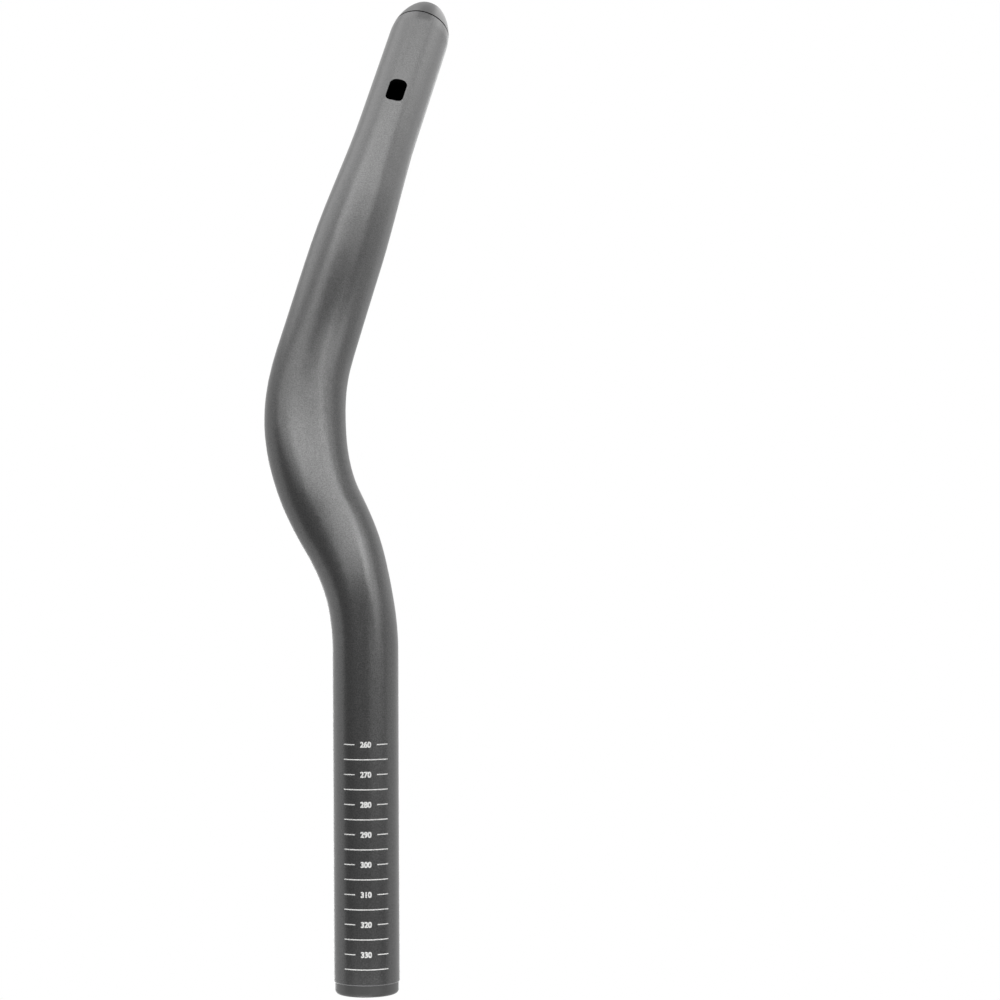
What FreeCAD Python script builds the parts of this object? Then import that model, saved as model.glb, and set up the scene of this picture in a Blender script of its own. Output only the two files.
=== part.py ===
import FreeCAD, Part
import math
import os
import Sketcher

# Aero handlebar extension for the rider's right hand.
# +Y runs forward along the straight tail, +Z is up, +X is outboard.
# The origin is on the tail's axis at the cut tail end. All sizes are in millimetres.

os.makedirs("parts", exist_ok=True)
doc = FreeCAD.newDocument("aero_extension")

# Driving dimensions
sheet = doc.addObject("Spreadsheet::Sheet", "Sizes")
DRIVING = [
    ("tube_od", 22.2, "outside diameter of the round tail and the round front"),
    ("wall", 1.6, "wall of the tube, the same all along"),
    ("reach", 338.4, "tail end to the middle of the front end, along the tail"),
    ("round_tail", 90.0, "length of the straight tail that stays exactly round"),
    ("tail_deburr", 0.3, "chamfer round both edges of the tail end"),
    ("rise_start", 102.8, "where the tube starts to rise"),
    ("rise_radius", 264.0, "radius of the rise, seen from the side"),
    ("rise_angle", 39.8, "slope of the front"),
    ("sway_start", 110.7, "where the tube starts to swing outboard"),
    ("outward_radius", 91.2, "radius of the outboard bend, seen from above"),
    ("outward_angle", 29.2, "steepest swing outboard"),
    ("inward_radius", 74.4, "radius of the bend back inboard"),
    ("lean_angle", 15.3, "inboard lean of the front"),
    ("front_settle", 0.8, "straight run between the last bend and the round front"),
    ("station_step", 8.0, "spacing of the sections of the formed length"),
    ("palm_width", 26.2, "width of the hand section"),
    ("palm_depth", 18.6, "depth of the hand section"),
    ("swell_start", 125.8, "where the round tube starts to widen"),
    ("swell_full", 159.5, "where the hand section is reached"),
    ("narrow_start", 246.0, "where the hand section starts to close"),
    ("round_again", 299.2, "where the tube is round again"),
    ("heel_extra", 1.7, "extra width at the heel of the palm"),
    ("heel_middle", 188.3, "middle of the heel"),
    ("heel_half", 28.3, "half length of the heel swell"),
    ("port_back", 44.4, "middle of the cable port behind the front end, along the axis"),
    ("port_length", 11.4, "cable port, end to end"),
    ("port_width", 6.5, "cable port, side to side"),
    ("port_corner", 2.4, "rounded corners of the port"),
    ("port_turn", 3.9, "turn of the port outboard from straight down"),
    ("nose_length", 18.4, "length of the bullet nose, from the full diameter to its tip"),
    ("nose_side_radius", 27.6, "side radius of the bullet nose"),
    ("nose_on_tube", 4.4, "share of the bullet nose that is the tube's own end"),
    ("seam_gap", 0.5, "open joint between the tube's end and the rim of the nose plug"),
    ("seam_depth", 0.7, "depth of that joint"),
    ("plug_clearance", 0.1, "gap between the plug ribs and the bore"),
    ("rib_depth", 0.7, "how far a rib stands out of its stem"),
    ("rib_pitch", 4.2, "spacing of the ribs"),
    ("rib_land", 0.8, "length of a rib's top"),
    ("plug_wall", 2.0, "wall of the plug's hollow stem"),
    ("plug_lead_in", 1.2, "chamfer at the free end of a stem"),
    ("nose_stem", 17.0, "length of the nose plug's stem"),
    ("tail_stem", 17.0, "length of the tail plug's stem"),
    ("tail_cap_inset", 0.4, "step from the tube down to the tail plug's cap"),
    ("tail_cap_length", 4.0, "length of the tail plug's cap"),
    ("tail_cap_radius", 1.3, "rounded edge of the tail plug's cap"),
]
for row, (alias, value, note) in enumerate(DRIVING, start=1):
    sheet.set(f"A{row}", note)
    sheet.set(f"B{row}", str(value))
    sheet.setAlias(f"B{row}", alias)
doc.recompute()
size = {alias: float(sheet.get(alias)) for alias, value, note in DRIVING}

outer_radius = size["tube_od"] / 2
bore_radius = outer_radius - size["wall"]


# The tube's route. Seen from above and from the side it is straight lines and tangent arcs.
def follow(y, start, bends):
    """Offset and slope at y of a line that leaves the tail at start and turns through the bends."""
    offset, slope, here = 0.0, 0.0, start
    for radius, angle_in, angle_out in bends:
        sense = 1.0 if angle_out > angle_in else -1.0
        run = sense * radius * (math.sin(angle_out) - math.sin(angle_in))
        inside = min(max(y - here, 0.0), run)
        angle = math.asin(math.sin(angle_in) + sense * inside / radius)
        offset += sense * radius * (math.cos(angle_in) - math.cos(angle))
        slope = math.tan(angle)
        here += run
        if y <= here:
            return offset, slope
    return offset + (y - here) * slope, slope


swing = math.radians(size["outward_angle"])
lean = math.radians(size["lean_angle"])
slope_up = math.radians(size["rise_angle"])
SWAY = [
    (size["outward_radius"], 0.0, swing),
    (size["inward_radius"], swing, -lean),
]
RISE = [(size["rise_radius"], 0.0, slope_up)]


def frame_at(y):
    """Placement at y on the route: local x to the side, local y down, local z forward along the tube."""
    outboard, outboard_slope = follow(y, size["sway_start"], SWAY)
    height, height_slope = follow(y, size["rise_start"], RISE)
    forward = FreeCAD.Vector(outboard_slope, 1, height_slope).normalize()
    side = forward.cross(FreeCAD.Vector(0, 0, 1)).normalize()
    down = forward.cross(side)
    turn = FreeCAD.Rotation(side, down, forward, "ZXY")
    return FreeCAD.Placement(FreeCAD.Vector(outboard, y, height), turn)


sway_end = (
    size["sway_start"]
    + size["outward_radius"] * math.sin(swing)
    + size["inward_radius"] * (math.sin(swing) + math.sin(lean))
)
rise_end = size["rise_start"] + size["rise_radius"] * math.sin(slope_up)
front_start = max(size["round_again"], sway_end, rise_end) + size["front_settle"]
per_forward = math.sqrt(math.tan(lean) ** 2 + 1 + math.tan(slope_up) ** 2)
front_length = (size["reach"] - front_start) * per_forward
front_end = frame_at(size["reach"])


# The hand section opens out of the round tube, swells at the heel and closes again.
def smooth(share):
    share = min(max(share, 0.0), 1.0)
    return share * share * (3 - 2 * share)


def hand_share(y):
    opening = smooth((y - size["swell_start"]) / (size["swell_full"] - size["swell_start"]))
    closing = smooth((y - size["narrow_start"]) / (size["round_again"] - size["narrow_start"]))
    return opening * (1 - closing)


def heel_share(y):
    return smooth(1 - abs(y - size["heel_middle"]) / size["heel_half"])


# Sketch helpers
def new_sketch(body, name, placement):
    sketch = body.newObject("Sketcher::SketchObject", name)
    base = next(item for item in body.Origin.OriginFeatures if item.Role == "XY_Plane")
    sketch.AttachmentSupport = (base, "")
    sketch.MapMode = "FlatFace"
    sketch.AttachmentOffset = placement
    return sketch


def named_size(sketch, constraint, name, expression):
    """Adds a dimension, names it and binds it to the sheet."""
    index = sketch.addConstraint(constraint)
    sketch.renameConstraint(index, name)
    sketch.setExpression(f"Constraints.{name}", expression)


def polyline(sketch, corners):
    """Adds straight edges through the corners and joins them. Returns the edges' numbers."""
    edges = []
    for begin, end in zip(corners, corners[1:]):
        line = Part.LineSegment(FreeCAD.Vector(*begin, 0), FreeCAD.Vector(*end, 0))
        edges.append(sketch.addGeometry(line, False))
    for before, after in zip(edges, edges[1:]):
        sketch.addConstraint(Sketcher.Constraint("Coincident", before, 2, after, 1))
    return edges


def revolve(body, name, sketch):
    turned = body.newObject("PartDesign::Revolution", name)
    turned.Profile = sketch
    turned.ReferenceAxis = (sketch, ["H_Axis"])
    turned.Angle = 360
    return turned


# Profiles that are turned about a length of the tube have local x forward and local y up.
lengthwise = FreeCAD.Rotation(
    FreeCAD.Vector(0, 0, 1), FreeCAD.Vector(0, -1, 0), FreeCAD.Vector(1, 0, 0), "ZXY"
)


def turned_frame(placement):
    return placement.multiply(FreeCAD.Placement(FreeCAD.Vector(0, 0, 0), lengthwise))


# Bullet nose: a side arc that leaves the full diameter, and a tip arc tangent to it.
side_radius = size["nose_side_radius"]
nose_offset = outer_radius - side_radius
tip_radius = (side_radius**2 - size["nose_length"] ** 2 - nose_offset**2) / (
    2 * (side_radius - size["nose_length"])
)


def nose_radius(along):
    """Radius of the side arc at a distance along the nose from the full diameter."""
    return nose_offset + math.sqrt(side_radius**2 - along**2)


seam_radius = nose_radius(size["nose_on_tube"])

# The formed length: an even wall that swings, rises and changes its section all at once
count = max(6, round((front_start - size["round_tail"]) / size["station_step"]))
formed_run = front_start - size["round_tail"]
shares = [index / count for index in range(count + 1)]
stations = [size["round_tail"] + formed_run * share for share in shares]
QUARTER_KNOTS = [0, 0.25, 0.5, 0.75, 1]
QUARTER_MULTIPLICITIES = [3, 2, 2, 2, 3]
AROUND = [(1, 0), (1, 1), (0, 1), (-1, 1), (-1, 0), (-1, -1), (0, -1), (1, -1), (1, 0)]
CORNER_WEIGHT = math.sqrt(0.5)


def section_poles(y, inset):
    """The nine poles of the exact ellipse at y, inset from the outside of the tube."""
    swollen = (size["palm_width"] - size["tube_od"]) * hand_share(y)
    flattened = (size["palm_depth"] - size["tube_od"]) * hand_share(y)
    half_width = (size["tube_od"] + swollen + size["heel_extra"] * heel_share(y)) / 2 - inset
    half_depth = (size["tube_od"] + flattened) / 2 - inset
    placed = frame_at(y)
    return [
        placed.multVec(FreeCAD.Vector(half_width * across, half_depth * deep, 0))
        for across, deep in AROUND
    ]


def formed_solid(inset):
    """Solid inside a skin that is an exact ellipse at each station and runs smoothly between them."""
    rows = [section_poles(y, inset) for y in stations]
    leaving = frame_at(stations[0]).Rotation.multVec(FreeCAD.Vector(0, 0, formed_run))
    arriving = frame_at(stations[-1]).Rotation.multVec(FreeCAD.Vector(0, 0, formed_run * per_forward))
    lengthwise_poles = []
    for number in range(len(AROUND)):
        line = Part.BSplineCurve()
        line.interpolate(
            [row[number] for row in rows],
            Parameters=shares,
            InitialTangent=leaving,
            FinalTangent=arriving,
        )
        lengthwise_poles.append(line.getPoles())
    weights = [
        [CORNER_WEIGHT if number % 2 else 1.0] * len(lengthwise_poles[0])
        for number in range(len(AROUND))
    ]
    surface = Part.BSplineSurface()
    surface.buildFromPolesMultsKnots(
        lengthwise_poles,
        QUARTER_MULTIPLICITIES,
        line.getMultiplicities(),
        QUARTER_KNOTS,
        line.getKnots(),
        False,
        False,
        2,
        line.Degree,
        weights,
    )
    skin = surface.toShape()
    rims = [edge for edge in skin.Edges if edge.isClosed()]
    shell = Part.makeShell([skin] + [Part.Face(Part.Wire([rim])) for rim in rims])
    shell.sewShape()
    return Part.Solid(shell)


formed = doc.addObject("Part::Feature", "FormedLength")
formed.Shape = formed_solid(0.0).cut(formed_solid(size["wall"]))

# Extension tube: one hollow tube, formed in the middle and straight and round at both ends
tube = doc.addObject("PartDesign::Body", "extension_tube")
tube.Label = "extension_tube"
tube.BaseFeature = formed
doc.recompute()

# The straight round tail, deburred at its cut end
tail_profile = new_sketch(tube, "TailProfile", turned_frame(frame_at(0)))
deburr = size["tail_deburr"]
tail_edges = polyline(
    tail_profile,
    [
        (deburr, outer_radius),
        (size["round_tail"], outer_radius),
        (size["round_tail"], bore_radius),
        (deburr, bore_radius),
        (0, bore_radius + deburr),
        (0, outer_radius - deburr),
        (deburr, outer_radius),
    ],
)
top, step_face, under, inner_break, end_face, outer_break = tail_edges
tail_profile.addConstraint(Sketcher.Constraint("Coincident", outer_break, 2, top, 1))
for edge in (top, under):
    tail_profile.addConstraint(Sketcher.Constraint("Horizontal", edge))
tail_profile.addConstraint(Sketcher.Constraint("Vertical", step_face))
tail_profile.addConstraint(Sketcher.Constraint("PointOnObject", end_face, 1, -2))
tail_profile.addConstraint(Sketcher.Constraint("PointOnObject", end_face, 2, -2))
named_size(
    tail_profile,
    Sketcher.Constraint("DistanceX", -1, 1, top, 2, size["round_tail"]),
    "straight",
    "Sizes.round_tail",
)
named_size(
    tail_profile,
    Sketcher.Constraint("DistanceY", -1, 1, top, 1, outer_radius),
    "outside",
    "Sizes.tube_od / 2",
)
named_size(
    tail_profile,
    Sketcher.Constraint("DistanceY", step_face, 2, step_face, 1, size["wall"]),
    "wall",
    "Sizes.wall",
)
for name, point in (("outer_run", (outer_break, 2)), ("inner_run", (inner_break, 1))):
    named_size(
        tail_profile,
        Sketcher.Constraint("DistanceX", -1, 1, *point, deburr),
        name,
        "Sizes.tail_deburr",
    )
named_size(
    tail_profile,
    Sketcher.Constraint("DistanceY", outer_break, 1, outer_break, 2, deburr),
    "outer_drop",
    "Sizes.tail_deburr",
)
named_size(
    tail_profile,
    Sketcher.Constraint("DistanceY", inner_break, 1, inner_break, 2, deburr),
    "inner_drop",
    "Sizes.tail_deburr",
)
revolve(tube, "RoundTail", tail_profile)

# The straight round front, whose end is drawn in to meet the nose plug
front_profile = new_sketch(tube, "FrontProfile", turned_frame(front_end))
drawn_in = size["nose_on_tube"]
front_edges = polyline(
    front_profile,
    [
        (0, seam_radius),
        (0, bore_radius),
        (-front_length, bore_radius),
        (-front_length, outer_radius),
        (-drawn_in, outer_radius),
    ],
)
seat, front_bore, joint, front_top = front_edges
arc_centre = FreeCAD.Vector(-drawn_in, nose_offset, 0)
nose_circle = Part.Circle(arc_centre, FreeCAD.Vector(0, 0, 1), side_radius)
arc_from = math.atan2(seam_radius - nose_offset, drawn_in)
draw = front_profile.addGeometry(Part.ArcOfCircle(nose_circle, arc_from, math.pi / 2), False)
front_profile.addConstraint(Sketcher.Constraint("Tangent", front_top, 2, draw, 2))
front_profile.addConstraint(Sketcher.Constraint("Coincident", draw, 1, seat, 1))
for edge in (front_bore, front_top):
    front_profile.addConstraint(Sketcher.Constraint("Horizontal", edge))
front_profile.addConstraint(Sketcher.Constraint("Vertical", joint))
front_profile.addConstraint(Sketcher.Constraint("PointOnObject", seat, 1, -2))
front_profile.addConstraint(Sketcher.Constraint("PointOnObject", seat, 2, -2))
front_profile.addConstraint(
    Sketcher.Constraint("DistanceX", joint, 1, -1, 1, front_length)
)
for constraint, name, expression in (
    (Sketcher.Constraint("Radius", draw, side_radius), "side_arc", "Sizes.nose_side_radius"),
    (Sketcher.Constraint("DistanceX", front_top, 2, -1, 1, drawn_in), "drawn", "Sizes.nose_on_tube"),
    (Sketcher.Constraint("DistanceY", -1, 1, joint, 2, outer_radius), "outside", "Sizes.tube_od / 2"),
    (Sketcher.Constraint("DistanceY", joint, 1, joint, 2, size["wall"]), "wall", "Sizes.wall"),
):
    named_size(front_profile, constraint, name, expression)
revolve(tube, "RoundFront", front_profile)

# The cable port: a rounded rectangle through the lower wall
port_y = size["reach"] - size["port_back"] / per_forward
port_turn = FreeCAD.Rotation(FreeCAD.Vector(0, 0, 1), -size["port_turn"])
port_frame = frame_at(port_y).multiply(FreeCAD.Placement(FreeCAD.Vector(0, 0, 0), port_turn))
facing_down = FreeCAD.Rotation(
    FreeCAD.Vector(0, 0, 1), FreeCAD.Vector(1, 0, 0), FreeCAD.Vector(0, 1, 0), "ZXY"
)
port_sketch = new_sketch(
    tube, "PortOutline", port_frame.multiply(FreeCAD.Placement(FreeCAD.Vector(0, 0, 0), facing_down))
)
normal = FreeCAD.Vector(0, 0, 1)
port_corner = size["port_corner"]
half_long = size["port_length"] / 2
half_wide = size["port_width"] / 2
straight_long = half_long - port_corner
straight_wide = half_wide - port_corner
rounds = []
for quarter, (along, across) in enumerate([(1, 1), (-1, 1), (-1, -1), (1, -1)]):
    centre = FreeCAD.Vector(along * straight_long, across * straight_wide, 0)
    circle = Part.Circle(centre, normal, port_corner)
    begin = quarter * math.pi / 2
    arc = Part.ArcOfCircle(circle, begin, begin + math.pi / 2)
    rounds.append(port_sketch.addGeometry(arc, False))
left_side, = polyline(port_sketch, [(straight_long, half_wide), (-straight_long, half_wide)])
back_side, = polyline(port_sketch, [(-half_long, straight_wide), (-half_long, -straight_wide)])
right_side, = polyline(port_sketch, [(-straight_long, -half_wide), (straight_long, -half_wide)])
front_side, = polyline(port_sketch, [(half_long, -straight_wide), (half_long, straight_wide)])
for before, side, after in zip(
    rounds, (left_side, back_side, right_side, front_side), rounds[1:] + rounds[:1]
):
    port_sketch.addConstraint(Sketcher.Constraint("Tangent", before, 2, side, 1))
    port_sketch.addConstraint(Sketcher.Constraint("Tangent", side, 2, after, 1))
for other in rounds[1:]:
    port_sketch.addConstraint(Sketcher.Constraint("Equal", rounds[0], other))
for side in (left_side, right_side):
    port_sketch.addConstraint(Sketcher.Constraint("Horizontal", side))
for side in (back_side, front_side):
    port_sketch.addConstraint(Sketcher.Constraint("Vertical", side))
port_sketch.addConstraint(Sketcher.Constraint("Symmetric", rounds[0], 3, rounds[2], 3, -1, 1))
for constraint, name, expression in (
    (Sketcher.Constraint("Radius", rounds[0], port_corner), "corner", "Sizes.port_corner"),
    (
        Sketcher.Constraint("DistanceX", rounds[1], 3, rounds[0], 3, 2 * straight_long),
        "along",
        "Sizes.port_length - 2 * Sizes.port_corner",
    ),
    (
        Sketcher.Constraint("DistanceY", rounds[3], 3, rounds[0], 3, 2 * straight_wide),
        "across",
        "Sizes.port_width - 2 * Sizes.port_corner",
    ),
):
    named_size(port_sketch, constraint, name, expression)
port = tube.newObject("PartDesign::Pocket", "CablePort")
port.Profile = port_sketch
port.Type = "Length"
port.setExpression("Length", "Sizes.tube_od")
port.Reversed = True
doc.recompute()
tube.Tip = port


# Plugs. Each is turned about its local x axis, which points out of the tube, with x = 0 at the seat.
def stem_corners(stem_length):
    """Corners of the ribbed hollow stem, from the seat round its free end to the axis."""
    top_radius = bore_radius - size["plug_clearance"]
    root_radius = top_radius - size["rib_depth"]
    land, pitch, depth = size["rib_land"], size["rib_pitch"], size["rib_depth"]
    first_rib = pitch / 2
    ribs = int((stem_length - size["plug_lead_in"] - first_rib) // pitch)
    corners = [(0, root_radius)]
    for number in range(ribs):
        begin = -(first_rib + number * pitch)
        corners += [
            (begin, root_radius),
            (begin, top_radius),
            (begin - land, top_radius),
            (begin - land - depth, root_radius),
        ]
    lead_in = size["plug_lead_in"]
    core_radius = root_radius - size["plug_wall"]
    corners += [
        (-stem_length + lead_in, root_radius),
        (-stem_length, root_radius - lead_in),
        (-stem_length, core_radius),
        (0, core_radius),
        (0, 0),
    ]
    return corners


def hold(sketch, edges):
    """Fixes straight edges where the sheet's sizes have put them."""
    for edge in edges:
        sketch.addConstraint(Sketcher.Constraint("Block", edge))


# Nose plug: a bullet dome on a ribbed stem, its rim standing a little off the tube's end
nose = doc.addObject("PartDesign::Body", "nose_plug")
nose.Label = "nose_plug"
nose_sketch = new_sketch(nose, "NoseProfile", FreeCAD.Placement())
tip_x = size["nose_length"] - drawn_in
tip_centre_x = tip_x - tip_radius
meet = math.atan2(-nose_offset, size["nose_length"] - tip_radius)
seam_gap = size["seam_gap"]
rim_radius = nose_radius(drawn_in + seam_gap)
step_radius = seam_radius - size["seam_depth"]
nose_corners = [(seam_gap, rim_radius), (seam_gap, step_radius), (0, step_radius)]
nose_corners += stem_corners(size["nose_stem"]) + [(tip_x, 0)]
nose_edges = polyline(nose_sketch, nose_corners)
hold(nose_sketch, nose_edges)
tip_circle = Part.Circle(FreeCAD.Vector(tip_centre_x, 0, 0), normal, tip_radius)
side_circle = Part.Circle(FreeCAD.Vector(-drawn_in, nose_offset, 0), normal, side_radius)
tip_arc = nose_sketch.addGeometry(Part.ArcOfCircle(tip_circle, 0, meet), False)
rim_from = math.atan2(rim_radius - nose_offset, drawn_in + seam_gap)
side_arc = nose_sketch.addGeometry(Part.ArcOfCircle(side_circle, meet, rim_from), False)
nose_sketch.addConstraint(Sketcher.Constraint("Coincident", nose_edges[-1], 2, tip_arc, 1))
nose_sketch.addConstraint(Sketcher.Constraint("Tangent", tip_arc, 2, side_arc, 1))
nose_sketch.addConstraint(Sketcher.Constraint("Coincident", side_arc, 2, nose_edges[0], 1))
nose_sketch.addConstraint(Sketcher.Constraint("PointOnObject", tip_arc, 3, -1))
named_size(
    nose_sketch,
    Sketcher.Constraint("Radius", side_arc, side_radius),
    "side_arc",
    "Sizes.nose_side_radius",
)
revolve(nose, "NoseTurned", nose_sketch)
nose.Placement = turned_frame(front_end)

# Tail plug: a low cap with a rounded edge on a ribbed stem
tail = doc.addObject("PartDesign::Body", "tail_plug")
tail.Label = "tail_plug"
tail_sketch = new_sketch(tail, "TailPlugProfile", FreeCAD.Placement())
cap_radius = outer_radius - size["tail_cap_inset"]
cap_end = size["tail_cap_length"]
round_over = size["tail_cap_radius"]
tail_corners = [(cap_end - round_over, cap_radius), (0, cap_radius)]
tail_corners += stem_corners(size["tail_stem"]) + [(cap_end, 0), (cap_end, cap_radius - round_over)]
plug_edges = polyline(tail_sketch, tail_corners)
hold(tail_sketch, plug_edges)
edge_centre = FreeCAD.Vector(cap_end - round_over, cap_radius - round_over, 0)
edge_circle = Part.Circle(edge_centre, normal, round_over)
edge_arc = tail_sketch.addGeometry(Part.ArcOfCircle(edge_circle, 0, math.pi / 2), False)
tail_sketch.addConstraint(Sketcher.Constraint("Coincident", plug_edges[-1], 2, edge_arc, 1))
tail_sketch.addConstraint(Sketcher.Constraint("Coincident", edge_arc, 2, plug_edges[0], 1))
revolve(tail, "TailPlugTurned", tail_sketch)
backward = FreeCAD.Placement(
    FreeCAD.Vector(0, 0, 0), FreeCAD.Rotation(FreeCAD.Vector(0, 0, 1), -90)
)
tail.Placement = backward

doc.recompute()

# Checks, then one STEP file for each piece
pieces = [tube, nose, tail]
for item in doc.Objects:
    if {"Invalid", "Error"} & set(item.State):
        raise RuntimeError(f"{item.Name} did not build: {item.State}")
for piece in pieces:
    if piece.Shape.isNull() or not piece.Shape.isValid() or len(piece.Shape.Solids) != 1:
        raise RuntimeError(f"{piece.Label} is not one valid solid")
for piece in pieces:
    piece.Shape.exportStep(f"parts/{piece.Label}.step")
    box = piece.Shape.BoundBox
    print(f"{piece.Label}: {piece.Shape.Volume:.1f} mm3, {box}")
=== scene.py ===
import math
import bpy
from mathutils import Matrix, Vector


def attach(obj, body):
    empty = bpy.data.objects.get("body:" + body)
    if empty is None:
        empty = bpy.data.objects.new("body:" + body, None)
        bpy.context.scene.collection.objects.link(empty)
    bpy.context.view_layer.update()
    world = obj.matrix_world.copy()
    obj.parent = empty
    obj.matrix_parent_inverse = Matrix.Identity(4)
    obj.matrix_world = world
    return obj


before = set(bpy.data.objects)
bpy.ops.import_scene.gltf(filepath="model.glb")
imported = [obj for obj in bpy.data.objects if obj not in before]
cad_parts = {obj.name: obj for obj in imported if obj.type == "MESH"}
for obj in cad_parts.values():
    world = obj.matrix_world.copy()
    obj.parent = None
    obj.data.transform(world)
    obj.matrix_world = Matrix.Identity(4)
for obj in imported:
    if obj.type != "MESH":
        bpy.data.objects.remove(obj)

print("frame loaded:", sorted(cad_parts))
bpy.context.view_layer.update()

# The tube lies with its tail along Y and its tip rising. The picture looks up at its underside.
scene = bpy.context.scene
scene.view_settings.view_transform = "Standard"


# Small helpers for material nodes. A value is a number, a vector, a color or another node's output.
def feed(links, value, socket):
    if isinstance(value, bpy.types.NodeSocket):
        links.new(value, socket)
    elif socket.type == "RGBA":
        socket.default_value = (*value, 1.0)
    else:
        socket.default_value = value


def newMaterial(name):
    material = bpy.data.materials.new(name)
    material.use_nodes = True
    nodes, links = material.node_tree.nodes, material.node_tree.links
    nodes.clear()
    output = nodes.new("ShaderNodeOutputMaterial")
    shader = nodes.new("ShaderNodeBsdfPrincipled")
    links.new(shader.outputs["BSDF"], output.inputs["Surface"])
    return material, nodes, links, shader


def noise(nodes, links, coords, scale, detail=3.0, roughness=0.6):
    node = nodes.new("ShaderNodeTexNoise")
    node.inputs["Scale"].default_value = scale
    node.inputs["Detail"].default_value = detail
    node.inputs["Roughness"].default_value = roughness
    links.new(coords, node.inputs["Vector"])
    return node.outputs["Fac"]


def toned(nodes, links, value, finish):
    # from the finish's dark color to its light one
    node = nodes.new("ShaderNodeValToRGB")
    for stop, tone in zip(node.color_ramp.elements, ("dark", "light")):
        stop.position = finish[tone + "At"]
        stop.color = (*finish[tone], 1.0)
    links.new(value, node.inputs["Fac"])
    return node.outputs["Color"]


def spread(nodes, links, value, low, high, start=0.0, end=1.0):
    # a value that runs from start to end comes out running from low to high
    node = nodes.new("ShaderNodeMapRange")
    node.inputs["From Min"].default_value = start
    node.inputs["From Max"].default_value = end
    node.inputs["To Min"].default_value = low
    node.inputs["To Max"].default_value = high
    links.new(value, node.inputs["Value"])
    return node.outputs["Result"]


def maths(nodes, links, operation, *values):
    node = nodes.new("ShaderNodeMath")
    node.operation = operation
    for value, socket in zip(values, node.inputs):
        feed(links, value, socket)
    return node.outputs["Value"]


def vectorMaths(nodes, links, operation, *values):
    node = nodes.new("ShaderNodeVectorMath")
    node.operation = operation
    for value, socket in zip(values, node.inputs):
        feed(links, value, socket)
    return node.outputs["Value" if operation in ("LENGTH", "DOT_PRODUCT") else "Vector"]


def blend(nodes, links, share, below, above):
    node = nodes.new("ShaderNodeMix")
    node.data_type = "RGBA"
    links.new(share, node.inputs["Factor"])
    colorSockets = [socket for socket in node.inputs if socket.type == "RGBA"]
    for value, socket in zip((below, above), colorSockets):
        feed(links, value, socket)
    return next(socket for socket in node.outputs if socket.type == "RGBA")


def mixShaders(nodes, links, share, below, above):
    node = nodes.new("ShaderNodeMixShader")
    for value, socket in zip((share, below, above), node.inputs):
        links.new(value, socket)
    return node.outputs["Shader"]


def bump(nodes, links, height, strength, distance, under=None):
    node = nodes.new("ShaderNodeBump")
    node.inputs["Strength"].default_value = strength
    node.inputs["Distance"].default_value = distance
    links.new(height, node.inputs["Height"])
    if under is not None:
        links.new(under, node.inputs["Normal"])
    return node.outputs["Normal"]


def dress(obj, material):
    obj.data.materials.clear()
    obj.data.materials.append(material)


# The straight round front of the tube, which the port and the nose plug's seam are found by
front = {
    "at": (-0.016412, 0.3384, 0.116671),          # on its axis, where the tube ends
    "along": (-0.20569, 0.75186, 0.62643),
    "paintedShade": (0.002, 0.002, 0.002),               # painted shade: near-black color put inside the port and the seam
}

# Bead-blasted and black-anodised aluminium
blasted = {
    "dark": (0.0045, 0.0045, 0.0047),
    "light": (0.0100, 0.0100, 0.0103),
    "darkAt": 0.3,            # the noise gives the dark color here, and the light one below
    "lightAt": 0.75,
    "film": 1.9,              # refractive index of the anodic film
    "roughLow": 0.26,
    "roughHigh": 0.31,
    "grainScale": 2500.0,     # fine peening
    "grainShare": 0.6,        # of grain in the color, the rest is mottle
    "grainStrength": 0.9,
    "grainHeight": 0.00003,
    "mottleScale": 420.0,     # soft patches a few millimetres across
    "mottleDetail": 4.0,
    "mottleRoughness": 0.55,
    "mottleShare": 0.4,
    "mottleStrength": 0.25,
    "mottleHeight": 0.00001,
    "dimGrain": 0.36,         # how strongly the film mirrors, from grain to grain
    "brightGrain": 0.64,
    "dimAt": 0.3,
    "brightAt": 0.7,
    "cutEdge": 0.00034,       # how far the lighter grey ring at the cut tail end reaches
    "cutColor": (0.16, 0.16, 0.165),
    "skin": 0.01095,          # nearer the front's axis than this is a cut wall or the bore
    "portFrom": 0.304,        # the port lies between these, measured forward
    "portTo": 0.319,
    "paintedPortShadeMirror": 0.1,        # share of the film's mirroring left inside the port, cut down as painted shade
}


def portShare(nodes, links, coords, forward):
    # where the port's painted shade goes: 1 on the cut walls of the port and the bore behind it, 0
    # on the skin
    away = vectorMaths(nodes, links, "SUBTRACT", coords, front["at"])
    across = vectorMaths(nodes, links, "CROSS_PRODUCT", away, front["along"])
    distance = vectorMaths(nodes, links, "LENGTH", across)
    inside = maths(nodes, links, "LESS_THAN", distance, blasted["skin"])
    pastStart = maths(nodes, links, "GREATER_THAN", forward, blasted["portFrom"])
    beforeEnd = maths(nodes, links, "LESS_THAN", forward, blasted["portTo"])
    inside = maths(nodes, links, "MULTIPLY", inside, pastStart)
    return maths(nodes, links, "MULTIPLY", inside, beforeEnd)


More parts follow.
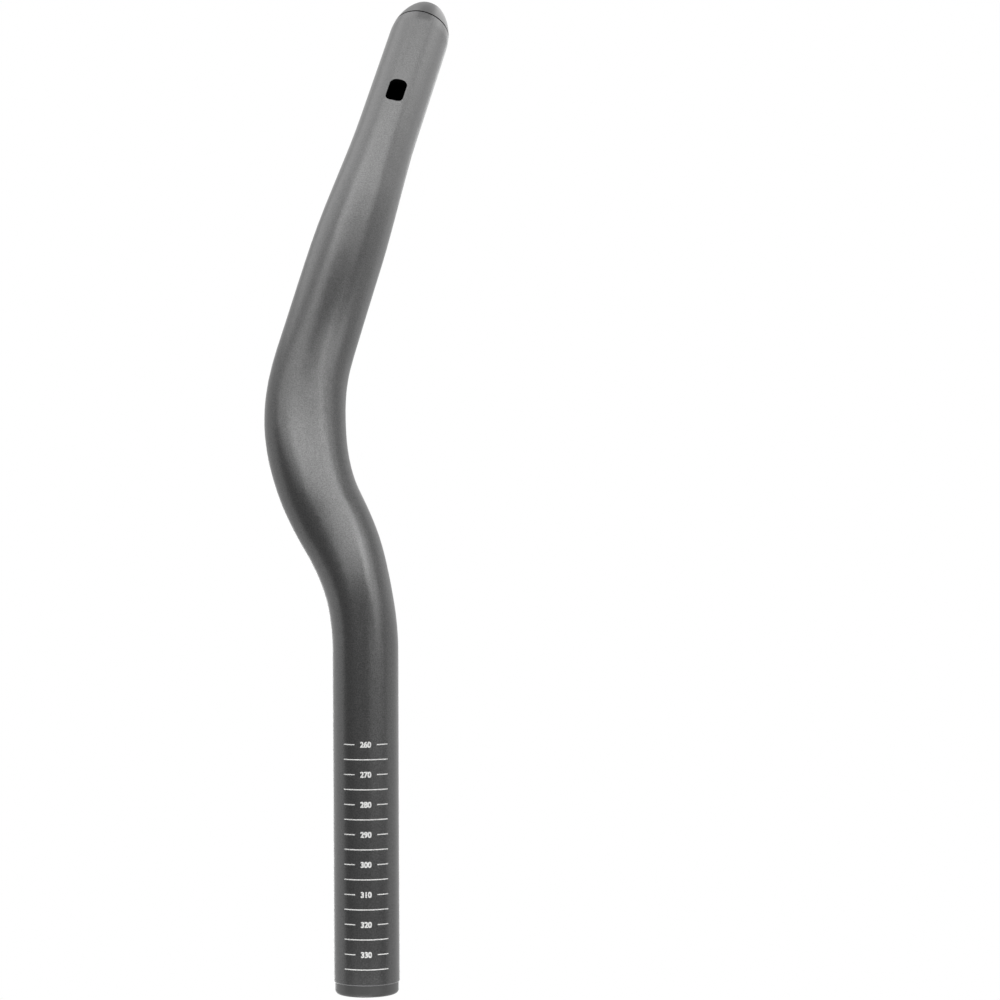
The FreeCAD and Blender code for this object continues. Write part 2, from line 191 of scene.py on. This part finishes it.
def blastedBlack():
    material, nodes, links, shader = newMaterial("blastedBlack")
    coords = nodes.new("ShaderNodeTexCoord").outputs["Object"]
    split = nodes.new("ShaderNodeSeparateXYZ")
    links.new(coords, split.inputs["Vector"])
    forward = split.outputs["Y"]
    grain = noise(nodes, links, coords, blasted["grainScale"])
    mottleDetail, mottleRoughness = blasted["mottleDetail"], blasted["mottleRoughness"]
    mottle = noise(nodes, links, coords, blasted["mottleScale"], mottleDetail, mottleRoughness)
    patches = spread(nodes, links, mottle, 0.0, blasted["mottleShare"])
    tone = maths(nodes, links, "MULTIPLY_ADD", grain, blasted["grainShare"], patches)
    color = toned(nodes, links, tone, blasted)
    cut = maths(nodes, links, "LESS_THAN", forward, blasted["cutEdge"])
    color = blend(nodes, links, cut, color, blasted["cutColor"])
    # painted shade: the port's cut walls and the bore behind it are painted near-black and mirror
    # little
    paintedPortShade = portShare(nodes, links, coords, forward)
    color = blend(nodes, links, paintedPortShade, color, front["paintedShade"])
    links.new(color, shader.inputs["Base Color"])
    dim, bright = blasted["dimGrain"], blasted["brightGrain"]
    sparkle = spread(nodes, links, grain, dim, bright, blasted["dimAt"], blasted["brightAt"])
    shadow = spread(nodes, links, paintedPortShade, 1.0, blasted["paintedPortShadeMirror"])
    links.new(maths(nodes, links, "MULTIPLY", sparkle, shadow), shader.inputs["Specular IOR Level"])
    rough = spread(nodes, links, mottle, blasted["roughLow"], blasted["roughHigh"])
    links.new(rough, shader.inputs["Roughness"])
    shader.inputs["IOR"].default_value = blasted["film"]
    soft = bump(nodes, links, mottle, blasted["mottleStrength"], blasted["mottleHeight"])
    fine = bump(nodes, links, grain, blasted["grainStrength"], blasted["grainHeight"], soft)
    links.new(fine, shader.inputs["Normal"])
    return material


# Black moulded plastic of both plugs, a little rougher than the tube
moulding = {
    "dark": (0.008, 0.008, 0.008),
    "light": (0.013, 0.013, 0.013),
    "darkAt": 0.3,
    "lightAt": 0.7,
    "film": 1.85,
    "roughLow": 0.26,
    "roughHigh": 0.32,
    "noseRougher": 0.06,      # each plug adds its own to both of these
    "tailRougher": 0.10,
    "cloudScale": 260.0,
    "grainScale": 3600.0,
    "grainDetail": 2.0,
    "grainStrength": 0.5,
    "grainHeight": 0.00002,
    "seamPaintedShade": 0.00072,          # how far the painted shade of the gap behind the nose plug's rim, and of the rim's edge, reaches
    "mirror": 0.5,            # how strongly the plastic mirrors in the open, and in that gap, where it is dimmed as painted shade
    "seamPaintedShadeMirror": 0.03,
}


def mouldedBlack(name, rougher, seamShadePainted=False):
    material, nodes, links, shader = newMaterial(name)
    coords = nodes.new("ShaderNodeTexCoord").outputs["Object"]
    grain = noise(nodes, links, coords, moulding["grainScale"], moulding["grainDetail"])
    cloud = noise(nodes, links, coords, moulding["cloudScale"])
    color = toned(nodes, links, cloud, moulding)
    if seamShadePainted:
        # painted shade: the gap behind the nose plug's rim and a strip of the rim beyond it are
        # painted near-black and mirror little
        away = vectorMaths(nodes, links, "SUBTRACT", coords, front["at"])
        along = vectorMaths(nodes, links, "DOT_PRODUCT", away, front["along"])
        seamPaintedShade = maths(nodes, links, "LESS_THAN", along, moulding["seamPaintedShade"])
        color = blend(nodes, links, seamPaintedShade, color, front["paintedShade"])
        mirror = spread(nodes, links, seamPaintedShade, moulding["mirror"], moulding["seamPaintedShadeMirror"])
        links.new(mirror, shader.inputs["Specular IOR Level"])
    links.new(color, shader.inputs["Base Color"])
    low, high = moulding["roughLow"] + rougher, moulding["roughHigh"] + rougher
    links.new(spread(nodes, links, cloud, low, high), shader.inputs["Roughness"])
    shader.inputs["IOR"].default_value = moulding["film"]
    fine = bump(nodes, links, grain, moulding["grainStrength"], moulding["grainHeight"])
    links.new(fine, shader.inputs["Normal"])
    return material


tubeBlack = blastedBlack()
nosePlugBlack = mouldedBlack("nosePlugBlack", moulding["noseRougher"], seamShadePainted=True)
tailPlugBlack = mouldedBlack("tailPlugBlack", moulding["tailRougher"])
dress(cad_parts["extension_tube"], tubeBlack)
dress(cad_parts["nose_plug"], nosePlugBlack)
dress(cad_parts["tail_plug"], tailPlugBlack)
print("tube and plugs finished")

# White screen-printed ink
ink = {
    "dark": (0.57, 0.57, 0.56),
    "light": (0.75, 0.75, 0.74),
    "darkAt": 0.35,
    "lightAt": 0.6,
    "rough": 0.55,
    "speckleScale": 2600.0,
    "speckleStrength": 0.3,
    "speckleHeight": 0.00001,
}


def printedInk():
    material, nodes, links, shader = newMaterial("printedInk")
    coords = nodes.new("ShaderNodeTexCoord").outputs["Object"]
    speckle = noise(nodes, links, coords, ink["speckleScale"])
    links.new(toned(nodes, links, speckle, ink), shader.inputs["Base Color"])
    shader.inputs["Roughness"].default_value = ink["rough"]
    fine = bump(nodes, links, speckle, ink["speckleStrength"], ink["speckleHeight"])
    links.new(fine, shader.inputs["Normal"])
    return material


# Cut scale printed under the tail. Its angles are degrees round the tube from straight down, and
# inboard is positive.
scale = {
    "radius": 0.0111,
    "inkHeight": 0.00002,
    "middle": 2.2,            # where the middle of the print lies
    "reach": 41.0,            # half of a full line
    "gap": 19.6,              # where the short lines stop beside a number
    "lineStep": 2.0,          # a line is bent round the tube in steps of this much
    "lineWidth": 0.00035,
    "first": 260,
    "last": 335,
    "step": 5,
    "numbered": 10,           # each line at a multiple of this carries its number
    "numberAtEnd": 340.5,     # the scale's reading at the cut tail end
    "numberSize": 0.0026,
    "numberBold": 0.0001,     # the strokes are widened by copies this far to each side
    "numberSqueeze": 0.95,
    "numberCurve": 6,         # steps in each curve of a number
    "copyLift": 0.000001,     # each copy lies this much over the one before
}


def wrapped(across, y, lift=0.0):
    # point on the underside of the tail, for a distance across from the scale's middle
    angle = across / scale["radius"] + math.radians(scale["middle"])
    r = scale["radius"] + scale["inkHeight"] + lift
    return Vector((-r * math.sin(angle), y, -r * math.cos(angle)))


def scaleLine(verts, faces, y, start, end):
    half = scale["lineWidth"] / 2
    pieces = max(2, round((end - start) / scale["lineStep"]))
    base = len(verts)
    for index in range(pieces + 1):
        across = math.radians(start + (end - start) * index / pieces) * scale["radius"]
        verts.append(wrapped(across, y - half))
        verts.append(wrapped(across, y + half))
    for index in range(pieces):
        at = base + 2 * index
        faces.append((at, at + 1, at + 3, at + 2))


def scaleNumber(verts, faces, y, number):
    curve = bpy.data.curves.new("number", "FONT")
    curve.body = str(number)
    curve.size = scale["numberSize"]
    curve.align_x = "CENTER"
    curve.resolution_u = scale["numberCurve"]
    holder = bpy.data.objects.new("number", curve)
    scene.collection.objects.link(holder)
    bpy.context.view_layer.update()
    shown = holder.evaluated_get(bpy.context.evaluated_depsgraph_get())
    flat = bpy.data.meshes.new_from_object(shown)
    xs = [v.co.x for v in flat.vertices]
    ys = [v.co.y for v in flat.vertices]
    middleX, middleY = (min(xs) + max(xs)) / 2, (min(ys) + max(ys)) / 2
    bold = scale["numberBold"]
    shifts = [(-bold, -bold), (bold, -bold), (-bold, bold), (bold, bold)]
    for copy, (aside, along) in enumerate(shifts):
        base, lift = len(verts), copy * scale["copyLift"]
        for v in flat.vertices:
            across = (v.co.x - middleX) * scale["numberSqueeze"] + aside
            verts.append(wrapped(across, y + v.co.y - middleY + along, lift))
        faces += [tuple(base + i for i in polygon.vertices) for polygon in flat.polygons]
    bpy.data.objects.remove(holder)
    bpy.data.meshes.remove(flat)
    bpy.data.curves.remove(curve)


def printScale():
    verts, faces = [], []
    reach, gap = scale["reach"], scale["gap"]
    for number in range(scale["first"], scale["last"] + 1, scale["step"]):
        y = (scale["numberAtEnd"] - number) / 1000
        if number % scale["numbered"]:
            scaleLine(verts, faces, y, -reach, reach)
        else:
            scaleLine(verts, faces, y, -reach, -gap)
            scaleLine(verts, faces, y, gap, reach)
            scaleNumber(verts, faces, y, number)
    mesh = bpy.data.meshes.new("tail_scale")
    mesh.from_pydata(verts, [], faces)
    mesh.update()
    piece = bpy.data.objects.new("tail_scale", mesh)
    scene.collection.objects.link(piece)
    dress(piece, printedInk())
    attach(piece, "root")


printScale()
print("scale printed")

# Studio: a pale floor far below that turns into the white backdrop all round
studio = {
    "floorDrop": 2.4,
    "floorSize": 160.0,
    "fadeFrom": 8.0,          # the floor turns white between these distances
    "fadeTo": 17.0,
    "backdrop": (1.0, 1.0, 1.0),
    "fill": 0.35,             # strength of the even light from all round
}
floorPaint = {
    "dark": (0.85, 0.85, 0.85),
    "light": (0.867, 0.867, 0.867),
    "darkAt": 0.3,
    "lightAt": 0.7,
    "cloudScale": 3.0,
    "rough": 0.9,
}


def seenShare(nodes, links):
    # 1 for the rays that show the backdrop: camera, glossy and transmission
    path = nodes.new("ShaderNodeLightPath")
    share = path.outputs["Is Camera Ray"]
    for kind in ("Is Glossy Ray", "Is Transmission Ray"):
        share = maths(nodes, links, "MAXIMUM", share, path.outputs[kind])
    return share


def layFloor():
    half = studio["floorSize"] / 2
    mesh = bpy.data.meshes.new("studio_floor")
    corners = [(-half, -half), (half, -half), (half, half), (-half, half)]
    mesh.from_pydata([(x, y, -studio["floorDrop"]) for x, y in corners], [], [(0, 1, 2, 3)])
    floor = bpy.data.objects.new("studio_floor", mesh)
    scene.collection.objects.link(floor)
    material, nodes, links, shader = newMaterial("studioFloor")
    coords = nodes.new("ShaderNodeTexCoord").outputs["Object"]
    cloud = noise(nodes, links, coords, floorPaint["cloudScale"])
    links.new(toned(nodes, links, cloud, floorPaint), shader.inputs["Base Color"])
    shader.inputs["Roughness"].default_value = floorPaint["rough"]
    distance = vectorMaths(nodes, links, "LENGTH", coords)      # from under the tail's end
    fade = spread(nodes, links, distance, 0.0, 1.0, studio["fadeFrom"], studio["fadeTo"])
    glow = nodes.new("ShaderNodeEmission")
    links.new(seenShare(nodes, links), glow.inputs["Strength"])
    surface = mixShaders(nodes, links, fade, shader.outputs["BSDF"], glow.outputs["Emission"])
    output = next(node for node in nodes if node.type == "OUTPUT_MATERIAL")
    links.new(surface, output.inputs["Surface"])
    dress(floor, material)


def lightWorld():
    world = bpy.data.worlds.new("studioWorld")
    world.use_nodes = True
    scene.world = world
    nodes, links = world.node_tree.nodes, world.node_tree.links
    nodes.clear()
    output = nodes.new("ShaderNodeOutputWorld")
    skies = []
    for strength in (studio["fill"], 1.0):
        sky = nodes.new("ShaderNodeBackground")
        feed(links, studio["backdrop"], sky.inputs["Color"])
        sky.inputs["Strength"].default_value = strength
        skies.append(sky.outputs["Background"])
    links.new(mixShaders(nodes, links, seenShare(nodes, links), *skies), output.inputs["Surface"])


layFloor()
lightWorld()
print("floor laid, backdrop lit")

# Soft boxes, all turned to the middle of the tube: place, size in metres and power in watts
boxAim = (0.0, 0.17, 0.04)
softBoxes = {
    "tipBox": {"at": (-0.142, 1.203, -0.118), "size": (0.94, 0.36), "power": 2.8},
    "inboardBox": {"at": (-0.518, 0.413, -0.363), "size": (0.40, 0.42), "power": 1.0},
    "outboardBox": {"at": (1.241, 1.759, -1.184), "size": (2.18, 1.29), "power": 14.0},
    "lowBox": {"at": (0.230, 1.235, -1.632), "size": (2.01, 0.66), "power": 14.7},
    "highInboardBox": {"at": (-0.995, 0.828, 0.789), "size": (1.30, 0.90), "power": 1.1},
    "highOutboardBox": {"at": (0.764, 1.700, 0.566), "size": (1.48, 1.21), "power": 5.0},
    "tipSideBox": {"at": (-0.330, 0.644, 0.444), "size": (0.27, 1.07), "power": 0.85},
    "tailSideBox": {"at": (-1.305, 0.111, -1.353), "size": (0.20, 2.01), "power": 2.4},
    "palmBox": {"at": (-0.339, 0.554, -0.437), "size": (0.29, 0.20), "power": 0.7},
    "tailBox": {"at": (0.2, -1.85, -0.45), "size": (1.3, 0.7), "power": 6.5},
    "topBox": {"at": (0.3, -0.5, 2.0), "size": (1.4, 1.4), "power": 12.0},
}

# Two small white cards, just behind the tail end and beside the tip, each with the way it faces
cards = {
    "tailCard": {
        "at": (0.0, -0.014, -0.052),
        "toward": (0.0, 1.0, 0.0),
        "size": (0.12, 0.07),
        "power": 0.02,
    },
    "tipCard": {
        "at": (-0.207, 0.455, 0.150),
        "toward": (0.77, -0.60, -0.20),
        "size": (0.12, 0.12),
        "power": 0.024,
    },
}


def standLamp(name, lamp, toward):
    light = bpy.data.lights.new(name, "AREA")
    light.shape = "RECTANGLE"
    light.size, light.size_y = lamp["size"]
    light.energy = lamp["power"]
    holder = bpy.data.objects.new(name, light)
    holder.location = lamp["at"]
    holder.rotation_euler = toward.to_track_quat("-Z", "Y").to_euler()
    holder.visible_camera = False
    scene.collection.objects.link(holder)


for name, box in softBoxes.items():
    standLamp(name, box, Vector(boxAim) - Vector(box["at"]))
for name, card in cards.items():
    standLamp(name, card, Vector(card["toward"]))
print("lamps set up")

# Camera under the tube, looking straight up, with the tip at the top of the picture
view = {
    "at": (-0.04556, 0.1618, -0.950),
    "roll": 0.26,             # degrees
    "lens": 101.52,
    "sensor": 36.0,
    "clipStart": 0.02,
}
cameraData = bpy.data.cameras.new("camera")
cameraData.lens = view["lens"]
cameraData.sensor_width = view["sensor"]
cameraData.clip_start = view["clipStart"]
camera = bpy.data.objects.new("camera", cameraData)
camera.location = view["at"]
camera.rotation_euler = (0.0, math.pi, math.radians(view["roll"]))
scene.collection.objects.link(camera)
scene.camera = camera
print("camera in place")
